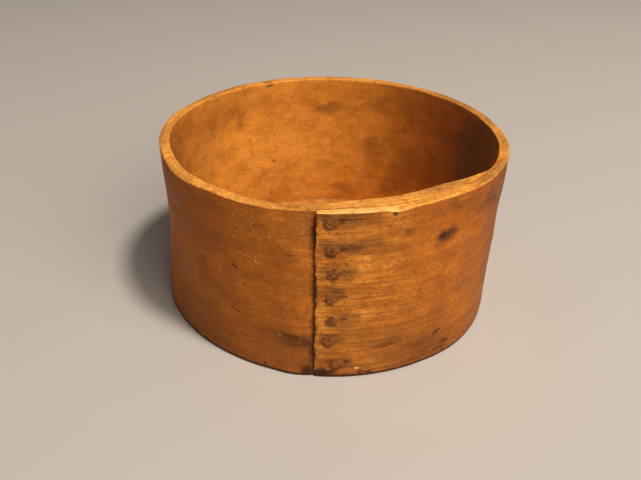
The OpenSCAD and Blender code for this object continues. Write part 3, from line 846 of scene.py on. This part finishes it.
def forgeNail(index, angle, height):
    bm = bmesh.new()
    inner = innerFace(angle, height)
    seat = band["radius"] + outOfRound(angle * deg, height) - nails["sink"]
    head = bmesh.ops.create_uvsphere(bm, u_segments=20, v_segments=12, radius=1)["verts"]
    bmesh.ops.rotate(bm, verts=head, matrix=Matrix.Rotation(math.pi / 2, 3, "Y"))
    facets = []
    for k in range(nails["blows"]):                # hammer blows round the crown
        swing = 2 * math.pi * (k + 0.4 * ripple(index * 3.7, k * 1.9)) / nails["blows"] + index
        slant = 0.30 + 0.22 * ripple(index * 1.3, k * 2.3, 4)
        face = Vector((math.cos(slant), math.sin(slant) * math.cos(swing), math.sin(slant) * math.sin(swing)))
        facets.append((face, 0.60 + 0.10 * ripple(index * 5.1, k * 3.3)))
    for v in head:
        for face, far in facets:
            past = v.co.dot(face) - far
            if past > 0:
                v.co -= face * past
        around = math.atan2(v.co.z, v.co.y)
        c, s = math.cos(around), math.sin(around)
        uneven = 0.34 * ripple(1.3 * c, 1.3 * s, index * 2.9) + 0.20 * ripple(3.1 * c, 3.1 * s, index * 4.3)
        wide = nails["head"] * (0.98 + uneven)
        tall = nails["crown"] if v.co.x > 0 else nails["back"]
        v.co = Vector((v.co.x * tall, v.co.y * wide, v.co.z * wide * 0.94))
    tilt = (Matrix.Rotation(0.06 + 0.14 * ripple(index * 1.7, 1), 3, "Z")
            @ Matrix.Rotation(0.05 + 0.14 * ripple(index * 2.3, 2), 3, "Y"))
    bmesh.ops.rotate(bm, verts=head, matrix=tilt)
    bmesh.ops.translate(bm, verts=head, vec=(seat + 0.0003, 0, 0))
    # shank, through both layers
    long = seat - inner + 0.0006
    shank = bmesh.ops.create_cube(bm, size=1)["verts"]
    bmesh.ops.scale(bm, verts=shank, vec=(long, nails["shank"], nails["shank"]))
    bmesh.ops.translate(bm, verts=shank, vec=(seat - long / 2, 0, 0))
    # the tip is drawn out of the shank's inner end and turned towards mid-height
    tipWay = -1 if height > band["height"] / 2 else 1
    pivot = Vector((inner + 0.0008, 0, tipWay * (nails["shank"] / 2 + 0.0002)))
    shankFaces = [f for f in bm.faces if all(v in shank for v in f.verts)]
    end = min(shankFaces, key=lambda f: f.calc_center_median().x)
    bend = Matrix.Rotation(tipWay * math.pi / 8, 3, "Y")
    for _ in range(4):
        end = bmesh.ops.extrude_discrete_faces(bm, faces=[end])["faces"][0]
        bmesh.ops.rotate(bm, verts=end.verts, cent=pivot, matrix=bend)
    for k, shrink in enumerate((0.85, 0.72, 0.55)):
        end = bmesh.ops.extrude_discrete_faces(bm, faces=[end])["faces"][0]
        onward = (0.0001, 0.0003 * ripple(index, k), tipWay * nails["clinch"] / 4.2)
        bmesh.ops.translate(bm, verts=end.verts, vec=onward)
        middle = end.calc_center_median()
        bmesh.ops.scale(bm, verts=end.verts, vec=(shrink, shrink, 1), space=Matrix.Translation(-middle))
    bmesh.ops.rotate(bm, verts=bm.verts, matrix=Matrix.Rotation(angle * deg, 3, "Z"))
    bmesh.ops.translate(bm, verts=bm.verts, vec=(0, 0, height))
    finishMesh(bm, "forgedNail%d" % index, nailIron, "lap_nail_%d" % index, 32)


for i, (nailA, nailZ) in enumerate(nailSpots):
    forgeNail(i + 1, nailA, nailZ)
print("nails: %d forged" % nails["count"])


# pegs, whittled, driven through the wall into the edge of the board

def whittlePeg(index, angle):
    bm = bmesh.new()
    first = innerFace(angle, pegs["height"]) - 0.0002 - pegs["bite"]
    last = band["radius"] + outOfRound(angle * deg, pegs["height"]) + pegs["proud"]
    made = bmesh.ops.create_cone(bm, cap_ends=True, segments=9, radius1=pegs["radius"] * pegs["taper"],
                                 radius2=pegs["radius"], depth=last - first)["verts"]
    bmesh.ops.rotate(bm, verts=made, matrix=Matrix.Rotation(math.pi / 2, 3, "Y"))
    bmesh.ops.translate(bm, verts=made, vec=((first + last) / 2, 0, 0))
    outRim = [e for e in bm.edges if all(v.co.x > last - 1e-5 for v in e.verts)]
    bmesh.ops.bevel(bm, geom=outRim, offset=pegs["eased"], offset_type="OFFSET", segments=2,
                    profile=0.5, affect="EDGES", material=-1)
    for v in bm.verts:
        v.co.y *= 1 + 0.05 * ripple(index * 2.1, 3)
        v.co.z *= 1 + 0.05 * ripple(index * 1.1, 7)
    bmesh.ops.rotate(bm, verts=bm.verts, matrix=Matrix.Rotation(angle * deg, 3, "Z"))
    bmesh.ops.translate(bm, verts=bm.verts, vec=(0, 0, pegs["height"]))
    finishMesh(bm, "whittledPeg%d" % index, pegWood, "bottom_peg_%d" % index, 30)


for i, pegA in enumerate(pegAngles):
    whittlePeg(i + 1, pegA)
print("pegs: %d whittled" % pegs["count"])


# the bottom board, sawn and planed to fit inside the wall

board = {
    "thick": 0.0074, "lift": 0.0008, "gap": 0.0001,
    "sides": 240, "rings": 34, "edgeRing": 0.0012, "ringSpan": 0.0986,
    "planed": 0.00022, "strokes": 105, "brokenTop": 0.0006, "brokenFoot": 0.0004,
}


def planeBoard():
    bm = bmesh.new()
    blank = 0.1                                    # radius of the disc, before it is fitted to the wall
    bmesh.ops.create_circle(bm, cap_ends=True, radius=blank, segments=board["sides"])
    middle = bm.faces[:]
    for k in range(board["rings"]):
        step = board["edgeRing"] if k == 0 else board["ringSpan"] / (board["rings"] + 1)
        bmesh.ops.inset_region(bm, faces=middle, thickness=step, use_even_offset=True)
    made = bmesh.ops.extrude_face_region(bm, geom=bm.faces[:])
    upper = {v for v in made["geom"] if isinstance(v, bmesh.types.BMVert)}
    bmesh.ops.translate(bm, verts=list(upper), vec=(0, 0, board["thick"]))
    for v in bm.verts:
        share = v.co.xy.length / blank
        a = math.atan2(v.co.y, v.co.x)
        spot = toward(a) * (innerFace(math.degrees(a), pegs["height"]) - board["gap"]) * share
        over = spot.y * math.cos(boardTurn) - spot.x * math.sin(boardTurn)
        stroke = abs(math.sin(over * board["strokes"] + 0.6 * ripple(over * 30, spot.x * 6)))
        scallop = board["planed"] * (stroke - 1 + 0.6 * ripple(spot.x * 20, over * 60))
        z = v.co.z + board["lift"] + (scallop if v in upper else -0.5 * scallop)
        if share > 0.999:                          # arrises broken by use
            z += -board["brokenTop"] if v in upper else board["brokenFoot"]
        v.co = (spot.x, spot.y, z)
    finishMesh(bm, "planedBoard", boardWood, "bottom_board", 50)


planeBoard()
print("board: planed")


# floor and light

stageSet = {
    "floor": (0.58, 0.52, 0.46, 1), "floorSize": 6.0, "floorRough": 0.9,
    "lamps": [                                     # name, place, size, watts, tint
        ("keyLight", (0.965, -0.830, 2.78), 0.45, 59.0, (1.0, 0.95, 0.88)),
        ("softLight", (1.58, -1.88, 1.78), 2.6, 53.0, (1.0, 0.95, 0.88)),
    ],
    "aim": (0, 0, 0.06),                           # what the lamps are turned to
    "sky": (1.0, 0.96, 0.91, 1), "skyPower": 0.14,
}


def setStage(s):
    bm = bmesh.new()
    bmesh.ops.create_grid(bm, x_segments=2, y_segments=2, size=s["floorSize"] / 2)
    mesh = bpy.data.meshes.new("studioFloor")
    bm.to_mesh(mesh)
    bm.free()
    floor = bpy.data.objects.new("studioFloor", mesh)
    scene.collection.objects.link(floor)
    material, tree, shader = newMaterial("floorPaper")
    feed(tree, shader.inputs, {"Base Color": s["floor"], "Roughness": s["floorRough"],
                               "Specular IOR Level": 0.1})
    mesh.materials.append(material)
    for name, place, size, watts, tint in s["lamps"]:
        lamp = bpy.data.lights.new(name, "AREA")
        lamp.shape = "DISK"
        lamp.size = size
        lamp.energy = watts
        lamp.color = tint
        stand = bpy.data.objects.new(name, lamp)
        stand.location = place
        stand.rotation_euler = (Vector(s["aim"]) - Vector(place)).to_track_quat("-Z", "Y").to_euler()
        scene.collection.objects.link(stand)
    world = bpy.data.worlds.new("studioSky")
    world.use_nodes = True
    tree = world.node_tree
    feed(tree, tree.nodes["Background"].inputs, {"Color": s["sky"], "Strength": s["skyPower"]})
    scene.world = world


setStage(stageSet)
print("stage: floor and light set")
